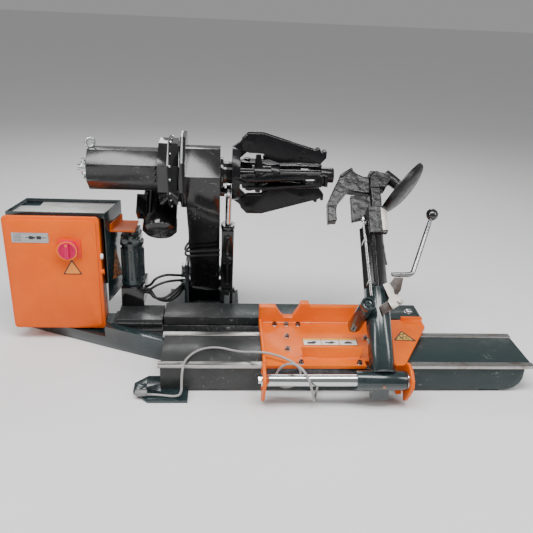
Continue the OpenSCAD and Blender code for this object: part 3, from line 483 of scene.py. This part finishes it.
SOFT_EDGE = {"enclosure_door": 0.0045, "chuck_arm": 0.003, "octagon_cover": 0.0025,
             "gear_casing": 0.003, "saddle": 0.0015, "saddle_ears": 0.002, "post_bar": 0.004,
             "bed_rails": 0.0012}
EDGE_ANGLE = math.radians(32)
ROUND = {"hydraulic_hoses", "arm_hoses", "latch_lever"}


def dress(obj, name):
    """Joins the imported faces, softens the edges and gives the node its material."""
    obj.data.materials.clear()
    obj.data.materials.append(by_node.get(name) or by_slot[slot_of[name]])
    join = obj.modifiers.new("join", "WELD")
    join.merge_threshold = MERGE
    if name in ROUND:
        more = obj.modifiers.new("round", "SUBSURF")
        more.levels = more.render_levels = 2
        obj.data.polygons.foreach_set("use_smooth", [True] * len(obj.data.polygons))
        return
    soft = obj.modifiers.new("soft edges", "BEVEL")
    soft.width = SOFT_EDGE.get(name, 0.0009)
    soft.segments = 2
    soft.limit_method = "ANGLE"
    soft.angle_limit = EDGE_ANGLE
    soft.harden_normals = True
    soft.use_clamp_overlap = True
    obj.data.polygons.foreach_set("use_smooth", [True] * len(obj.data.polygons))
    obj.data.set_sharp_from_angle(angle=EDGE_ANGLE)


# ------------------------------------------------------------------ cable

ROUTE = [
    [596, -2, 64], [595, -4, 52], [589, -20, 33], [579, -50, 21], [570, -84, 28],
    [563, -108, 52], [556, -117, 84], [547, -115, 116], [533, -101, 146], [512, -76, 162],
    [486, -52, 162], [458, -40, 148], [438, -38, 124], [428, -40, 96], [438, -42, 70],
    [468, -43, 56], [500, -42, 66], [518, -40, 94], [518, -36, 124], [500, -26, 145],
    [470, -8, 154], [436, 10, 158], [398, 28, 158], [360, 44, 152], [318, 66, 138],
    [276, 92, 128], [236, 110, 127], [198, 114, 127], [162, 104, 127], [132, 80, 127],
    [112, 48, 127], [100, 16, 128], [94, -14, 121], [91, -32, 98], [90, -38, 68],
    [89, -42, 42], [80, -44, 22], [58, -42, 16], [30, -38, 16], [2, -34, 16], [-20, -32, 16],
]
CABLE_R = 0.0045

curve = bpy.data.curves.new("mains_cable_run", "CURVE")
curve.dimensions = "3D"
curve.bevel_depth = CABLE_R
curve.bevel_resolution = 4
curve.use_fill_caps = True
points = smooth_path([[c * MM for c in p] for p in ROUTE], 4)
spline = curve.splines.new("POLY")
spline.points.add(len(points) - 1)
for p, q in zip(spline.points, points):
    p.co = (*q, 1.0)
cable = bpy.data.objects.new("cable_run", curve)
scene.collection.objects.link(cable)
curve.materials.append(cable_grey)
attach(cable, "carriage")
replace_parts(cable, "mains_cable")

for name, obj in nodes.items():
    dress(obj, name)

# ------------------------------------------------------------- tool post

LEAN = math.radians(45)
POST = Matrix.Translation((0, -0.080, 0.112)) @ Matrix.Rotation(-LEAN, 4, "X")


def on_post(x, y, s):
    """A point in the tool post's own frame, in millimetres, as a point in the row frame."""
    return POST @ Vector((x * MM, y * MM, s * MM))


# bead round the foot of the tube, over the sleeve
foot = []
for k in range(72):
    a = TURN * k / 72
    y = 46.0 * math.sin(a)
    s = max(26.0, math.sqrt(max(36.0 ** 2 - y * y, 0.0)))
    foot.append(on_post(816 + 46.5 * math.cos(a), y * 1.01, s))
weld("tube_foot_weld", [foot], 0.0042, "post", green, closed=True)


def rough_copy(node, name, voxel, amount, grain, material, smooth_steps=2):
    """A cast version of a CAD node: remeshed, its surface pushed in unevenly."""
    src = nodes[node]
    work = bpy.data.objects.new("work", src.data.copy())
    scene.collection.objects.link(work)
    join = work.modifiers.new("join", "WELD")
    join.merge_threshold = MERGE
    fine = work.modifiers.new("fine", "REMESH")
    fine.mode = "VOXEL"
    fine.voxel_size = voxel
    fair = work.modifiers.new("fair", "SMOOTH")
    fair.iterations = smooth_steps
    fair.factor = 0.5
    made = bpy.data.meshes.new_from_object(work.evaluated_get(bpy.context.evaluated_depsgraph_get()))
    bpy.data.objects.remove(work)
    normals = [v.normal.copy() for v in made.vertices]
    for v, n in zip(made.vertices, normals):
        h = noise.fractal(v.co * grain, 0.9, 2.1, 4)
        v.co -= n * amount * (0.5 + 0.5 * max(-1.0, min(1.0, h)))
    made.name = name
    made.materials.clear()
    made.polygons.foreach_set("use_smooth", [True] * len(made.polygons))
    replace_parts(new_object(name, made, src["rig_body"], material), node)


rough_copy("head_casting", "head_cast", 0.003, 0.0022, 45.0, cast_black, 3)
rough_copy("hook", "hook_cast", 0.0028, 0.0020, 38.0, hook_metal, 4)

# the lighter cheek on the knuckle, and two bolt heads on the casting
bm = bmesh.new()
cheek = [(840, 556), (861, 560), (861.5, 640), (838, 656)]
slab(bm, cheek, POST @ Matrix.Scale(MM, 4) @ Matrix.Rotation(math.pi / 2, 4, "X"), 82, 84.5, 0.0008)
new_object("knuckle_cheek", mesh_of("knuckle_cheek", bm), "head", latch_steel)

bm = bmesh.new()
for x, y, s, r in ((858, 0, 855, 9), (838, -60, 662, 7)):
    place = Matrix.Translation(on_post(x, y, s)) @ Matrix.Rotation(-LEAN, 4, "X")
    lathe(bm, [(r * MM, -0.004), (r * MM, 0.003), (r * 0.8 * MM, 0.0055), (0, 0.006)], place, 24)
new_object("head_bolts", mesh_of("head_bolts", bm), "head", dark_steel)

# dished disc: worn bright inside, with a ribbed hub
disc_place = POST @ Matrix.Translation((0.963, 0, 0.782)) @ Matrix.Rotation(math.radians(133), 4, "Y")
R = 125.0
inner = [(24, -29.5), (25, -8), (28, 6), (36, 13), (48, 16), (62, 15.5), (80, 11), (98, 4),
         (R - 13, -1.5), (R - 7, -8), (R - 3, -13), (R - 1, -13.5), (R, -10.5)]
outer = [(R, -10.5), (R - 0.5, -6), (R - 2, 0), (R - 6, 6), (105, 13.5), (84, 20.5), (62, 26), (40, 25.5),
         (28, 24), (0, 24)]
bm = bmesh.new()
lathe(bm, [(r * MM, h * MM) for r, h in [(0, -29.5)] + inner + outer[1:]], disc_place, 96)
disc = new_object("bead_disc_shell", mesh_of("bead_disc_shell", bm, angle=50), "disc",
                  disc_metal)
disc.data.materials.append(cast_black)
inside = disc_place.inverted()
for poly in disc.data.polygons:
    x, y, z = (inside @ poly.center) / MM
    radius = math.hypot(x, y)
    worn = 30 < radius < R - 8 and z < 15 - 0.27 * max(0, radius - 66)
    poly.material_index = 0 if worn else 1
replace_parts(disc, "bead_disc")
bm = bmesh.new()
for k in range(6):
    a = TURN * k / 6
    spin = disc_place @ Matrix.Rotation(a, 4, "Z") @ Matrix.Rotation(math.pi / 2, 4, "X")
    slab(bm, [(0.023, -0.024), (0.027, -0.024), (0.050, 0.0155), (0.023, 0.012)], spin, -0.003, 0.003,
         0.0008)
new_object("disc_ribs", mesh_of("disc_ribs", bm), "disc", cast_black)

# grease nipple on the sleeve
bm = bmesh.new()
place = Matrix.Translation((0.812, -0.1145, 0.108)) @ Matrix.Rotation(math.pi / 2, 4, "X")
lathe(bm, [(0.0055, 0), (0.0055, 0.003), (0.004, 0.0035), (0.004, 0.006), (0.0025, 0.007), (0, 0.0072)],
      place, 24)
new_object("grease_nipple", mesh_of("grease_nipple", bm), "post", copper)

# end caps of the buffer barrel
buffer_axis = Matrix.Rotation(math.radians(96), 4, "Z") @ Matrix.Rotation(math.radians(101), 4, "Y")
buffer_place = POST @ Matrix.Translation((0.762, -0.078, 0.262)) @ buffer_axis
bm = bmesh.new()
lathe(bm, [(0, 0.001), (0.008, 0.001), (0.009, -0.0045), (0.012, -0.005), (0.0125, 0.0), (0.021, 0.0),
           (0.0215, -0.005), (0.0268, -0.005), (0.0274, -0.002), (0.0274, 0.012), (0.027, 0.013)],
      buffer_place, 48)
new_object("buffer_cap", mesh_of("buffer_cap", bm), "post", green)

# ------------------------------------------------------------ carriage

weld("wall_foot_weld", [[(0.400, 0.2985, 0.1362), (0.862, 0.2985, 0.1362)]], 0.0034, "carriage",
     weld_orange)
weld("bar_foot_weld", [[(0.540, 0.0285, 0.1358), (0.590, 0.0285, 0.1358)],
                       [(0.700, 0.0285, 0.1358), (0.748, 0.0285, 0.1358)]], 0.0022, "carriage",
     weld_orange)

# plain three-field strip behind the stop bar
TOP = 0.135
bm = bmesh.new()
slab(bm, round_rect(0.213, 0.050, 0.002), Matrix.Translation((0.656, 0.148, TOP)), 0.0, 0.0007)
new_object("strip_base", mesh_of("strip_base", bm), "carriage", strip_yellow)
white_bm, black_bm = bmesh.new(), bmesh.new()
slab(black_bm, round_rect(0.216, 0.053, 0.003), Matrix.Translation((0.656, 0.148, TOP)), 0.0, 0.0004)
for k in range(3):
    cx = 0.656 + (k - 1) * 0.0705
    slab(white_bm, round_rect(0.0665, 0.034, 0.001), Matrix.Translation((cx, 0.142, TOP)), 0.0006, 0.0010)
    slab(black_bm, round_rect(0.0705, 0.0014, 0.0005), Matrix.Translation((cx, 0.1602, TOP)), 0.0006,
         0.0012)
    slab(black_bm, round_rect(0.0012, 0.050, 0.0005),
         Matrix.Translation((cx + 0.0347, 0.148, TOP)), 0.0006, 0.0012)
hook_shape = [(-0.018, -0.011), (0.004, -0.012), (0.016, 0.001), (0.006, 0.007), (-0.004, 0.001),
              (-0.016, 0.002)]
arrow_shape = [(-0.018, 0.001), (0.002, 0.001), (0.002, 0.008), (0.018, -0.002), (0.002, -0.011),
               (-0.018, -0.004)]
dome_shape = [(0.014 * math.cos(math.pi * k / 10), 0.014 * math.sin(math.pi * k / 10) - 0.009)
              for k in range(11)]
for k, shape in enumerate((hook_shape, arrow_shape, dome_shape)):
    place = Matrix.Translation((0.656 + (k - 1) * 0.0705, 0.145, TOP))
    slab(black_bm, [(x * 1.2, y * 1.2) for x, y in shape], place, 0.0009, 0.0014)
new_object("strip_fields", mesh_of("strip_fields", white_bm), "carriage", sticker_white)
new_object("strip_marks", mesh_of("strip_marks", black_bm), "carriage", sticker_black)


def triangle(name, centre, size, place, body, border, fill):
    """A plain triangle sticker with a border, lying in place's XY plane."""
    for part, scale, z0, z1, material in (("edge", 1.0, 0.0, 0.0005, border),
                                          ("field", 0.80, 0.0004, 0.0008, fill)):
        corner = []
        for a in (90, 210, 330):
            tip = Vector((math.cos(math.radians(a)), math.sin(math.radians(a)))) * size * scale
            for b in (-1, 1):
                side = math.radians(a + 180 - 30 * b)
                step = Vector((math.cos(side), math.sin(side))) * 0.07 * size
                corner.append(tuple(tip + step))
        bm = bmesh.new()
        slab(bm, corner, Matrix.Translation(centre) @ place, z0, z1)
        new_object(f"{name}_{part}", mesh_of(f"{name}_{part}", bm), body, material)


flat = Matrix.Identity(4)
upright = Matrix.Rotation(math.pi / 2, 4, "X")
triangle("gusset_triangle", (0.961, 0.187, TOP), 0.053, Matrix.Rotation(math.radians(-4), 4, "Z"),
         "carriage", sticker_black, speckle)
triangle("door_triangle", (-0.367, 0.376, 0.328), 0.044, upright, "door", sticker_black,
         sticker_orange)

# socket-head bolts' washers and the cover's round bolt
bm = bmesh.new()
for x, y in ((447, 280), (495, 280), (543, 280), (489, 184), (483, 89), (524, -4), (742, -6),
             (802, 175), (860, 60)):
    hoop(bm, Matrix.Translation((x * MM, y * MM, TOP)), 0.0105, 0.001, 0.0014, 32)
new_object("bolt_washers", mesh_of("bolt_washers", bm), "carriage", zinc)
bm = bmesh.new()
cover_bolt = Matrix.Translation((1.048, 0.427, 0.124))
lathe(bm, [(0.019, 0.0), (0.0195, 0.0016), (0.0165, 0.0022), (0.0162, 0.0052), (0.0145, 0.0088),
           (0.0105, 0.0112), (0.0065, 0.0122), (0.0062, 0.0085), (0, 0.0085)], cover_bolt, 40)
new_object("cover_bolt", mesh_of("cover_bolt", bm), "carriage", zinc)

# ------------------------------------------------------------- cabinet

KNOB = Vector((-0.376, 0.372, 0.417))
bm = bmesh.new()
knob_place = Matrix.Translation(KNOB) @ upright
KNOB_STEPS = 96
turns = [TURN * k / KNOB_STEPS for k in range(KNOB_STEPS)]
grip = [0.0392 + 0.0008 * math.cos(18 * a) for a in turns]
rings = []
for scale, h in ((0.97, 0.0006), (1.0, 0.002), (1.0, 0.018), (0.96, 0.0212), (0.88, 0.0222),
                 (0.70, 0.0218), (0.66, 0.0195)):
    rings.append([bm.verts.new(knob_place @ Vector((g * scale * math.cos(a), g * scale * math.sin(a), h)))
                  for a, g in zip(turns, grip)])
for a, b in zip(rings, rings[1:]):
    for k in range(KNOB_STEPS):
        j = (k + 1) % KNOB_STEPS
        bm.faces.new((a[k], a[j], b[j], b[k]))
bm.faces.new(rings[0][::-1])
bm.faces.new(rings[-1])
slab(bm, round_rect(0.016, 0.066, 0.006), knob_place, 0.019, 0.0315, 0.0015)
knob = new_object("knob_grip", mesh_of("knob_grip", bm), "knob", magenta)
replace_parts(knob, "switch_knob")
bm = bmesh.new()
hoop(bm, knob_place, 0.0372, 0.0212, 0.0019)
lathe(bm, [(0.0042, 0.031), (0.0042, 0.0318), (0, 0.0318)],
      knob_place @ Matrix.Translation((0, 0.026, 0)), 20)
new_object("knob_ring", mesh_of("knob_ring", bm), "knob", yellow)

# name plate: raised border and two plain shapes of a plug and a socket
bm = bmesh.new()
plate = Matrix.Translation((-0.519, 0.3745, 0.461)) @ upright
slab(bm, round_rect(0.136, 0.036, 0.002), plate, 0.0, 0.0003)
new_object("nameplate_field", mesh_of("nameplate_field", bm), "door", plate_metal)
bm = bmesh.new()
for x, w, h in ((-0.010, 0.014, 0.0026), (0.004, 0.016, 0.013), (0.016, 0.008, 0.007),
                (0.034, 0.018, 0.013), (0.053, 0.020, 0.0028)):
    slab(bm, round_rect(w, h, 0.001), plate @ Matrix.Translation((x, 0.001, 0)), 0.0003, 0.0008)
for y in (-0.012, -0.006, 0.0, 0.006, 0.012):
    slab(bm, round_rect(0.030, 0.0012, 0.0004), plate @ Matrix.Translation((-0.047, y, 0)), 0.0003, 0.0007)
new_object("nameplate_marks", mesh_of("nameplate_marks", bm), "door", sticker_black)

# white plug on the door's edge
bm = bmesh.new()
side = Matrix.Translation((-0.254, 0.3875, 0.382)) @ Matrix.Rotation(math.pi / 2, 4, "Y")
lathe(bm, [(0.0115, 0.0), (0.0115, 0.006), (0.010, 0.0082), (0.006, 0.009), (0, 0.0092)], side, 40)
new_object("door_plug", mesh_of("door_plug", bm), "door", white)

# black rubber seal behind the door
bm = bmesh.new()
seal = [(-0.600, 0.082), (-0.274, 0.082), (-0.274, 0.508), (-0.600, 0.508)]
sweep(bm, [(x, 0.3965, z) for x, z in seal], 0.002, 8, closed=True)
new_object("door_seal", mesh_of("door_seal", bm), "root", hose)

# speckled triangle on the hood's right side, which is slanted in plan
hood_dir = Vector((38, 177, 0)).normalized()
hood_out = Vector((177, -38, 0)).normalized()
at = Vector((-0.238, 0.428, 0)) + hood_dir * 0.098
face = Matrix.Identity(4)
for row in range(3):
    face[row][0], face[row][1], face[row][2] = hood_dir[row], (0, 0, 1)[row], hood_out[row]
face.translation = (at.x, at.y, 0.285)
bm = bmesh.new()
slab(bm, [(-0.052, -0.045), (0.056, -0.060), (-0.006, 0.085)], face, 0.0, 0.0005)
new_object("hood_triangle", mesh_of("hood_triangle", bm), "root", hood_speckle)

# black rim and recess on the cabinet's top
bm = bmesh.new()
rim = [(-0.614, 0.4345), (-0.243, 0.4345), (-0.206, 0.5995), (-0.584, 0.5995)]
sweep(bm, [(x, y, 0.5385) for x, y in rim], 0.0026, 8, closed=True)
new_object("tray_seal", mesh_of("tray_seal", bm), "root", hose)

# ------------------------------------------------------------ drive unit

motor = (Matrix.Translation((-0.022, 0.598, 0.651)) @ Matrix.Rotation(math.radians(135), 4, "X"))
bm = bmesh.new()
for r in (0.014, 0.024, 0.034, 0.044, 0.052):
    ring = [motor @ Vector((r * math.cos(TURN * k / 48), r * math.sin(TURN * k / 48), 0.2492))
            for k in range(48)]
    sweep(bm, ring, 0.0016, 6, closed=True)
for k in range(8):
    a = TURN * k / 8
    sweep(bm, [motor @ Vector((0.010 * math.cos(a), 0.010 * math.sin(a), 0.2495)),
               motor @ Vector((0.054 * math.cos(a), 0.054 * math.sin(a), 0.2495))], 0.0016, 6)
lathe(bm, [(0.010, 0.2485), (0.010, 0.2505), (0, 0.251)], motor, 24)
new_object("fan_grille", mesh_of("fan_grille", bm), "arm", gloss)

# beads down both sides of the arm's front face, where its sheets meet
SEAM = ((0.3055, 0.7405), (0.3305, 0.6405), (0.4405, 0.5005))
weld("arm_seam", [[(x, y, z) for y, z in SEAM] for x in (0.0912, 0.2168)], 0.0018, "arm",
     gloss)

# nuts on the rotary union's three fittings
bm = bmesh.new()
UNION = (-0.293, 0.400, 0.742)
for a in (math.radians(d) for d in (30, 150, 270)):
    tip = Vector((UNION[0], UNION[1] - 0.040 * math.sin(a), UNION[2] + 0.040 * math.cos(a)))
    out = Vector((0, -math.sin(a), math.cos(a)))
    spin = out.to_track_quat("Z", "Y").to_matrix().to_4x4()
    place = Matrix.Translation(tip - out * 0.018) @ spin
    slab(bm, [(0.0095 * math.cos(math.pi * j / 3), 0.0095 * math.sin(math.pi * j / 3)) for j in range(6)],
         place, 0, 0.010, 0.0008)
new_object("union_nuts", mesh_of("union_nuts", bm), "arm", zinc)

# ------------------------------------------------------- floor and light

floor_mesh = bpy.data.meshes.new("floor")
floor_mesh.from_pydata([(-40, -40, -0.0006), (40, -40, -0.0006), (40, 40, -0.0006), (-40, 40, -0.0006)], [],
                       [(0, 1, 2, 3)])
floor = bpy.data.objects.new("floor", floor_mesh)
scene.collection.objects.link(floor)
s = Shader("floor")
floor_mesh.materials.append(s.finish(s.mix(s.noise(1.5, 3), (0.80, 0.80, 0.80), (0.84, 0.84, 0.84)),
                                     s.span(s.noise(9.0, 3), 0.3, 0.7, 0.75, 0.85), Specular_IOR_Level=0.2))

world = bpy.data.worlds.new("studio")
world.use_nodes = True
world.node_tree.nodes["Background"].inputs["Color"].default_value = (1, 1, 1, 1)
world.node_tree.nodes["Background"].inputs["Strength"].default_value = 0.32
scene.world = world


def softbox(name, where, look, width, height, power):
    light = bpy.data.lights.new(name, "AREA")
    light.shape = "RECTANGLE"
    light.size, light.size_y = width, height
    light.energy = power
    obj = bpy.data.objects.new(name, light)
    obj.location = where
    aim = Vector(look) - Vector(where)
    obj.rotation_mode = "QUATERNION"
    obj.rotation_quaternion = aim.to_track_quat("-Z", "Y")
    scene.collection.objects.link(obj)


softbox("overhead", (0.2, -0.8, 3.1), (0.3, 0.1, 0.4), 3.0, 1.1, 130)
softbox("left", (-2.8, -1.2, 1.9), (0.2, 0.3, 0.4), 0.7, 2.0, 42)
softbox("right", (3.0, -1.0, 1.9), (0.6, 0.3, 0.4), 0.6, 2.0, 36)
softbox("back", (0.2, 3.2, 2.6), (0.3, 0.3, 0.4), 3.0, 0.8, 50)
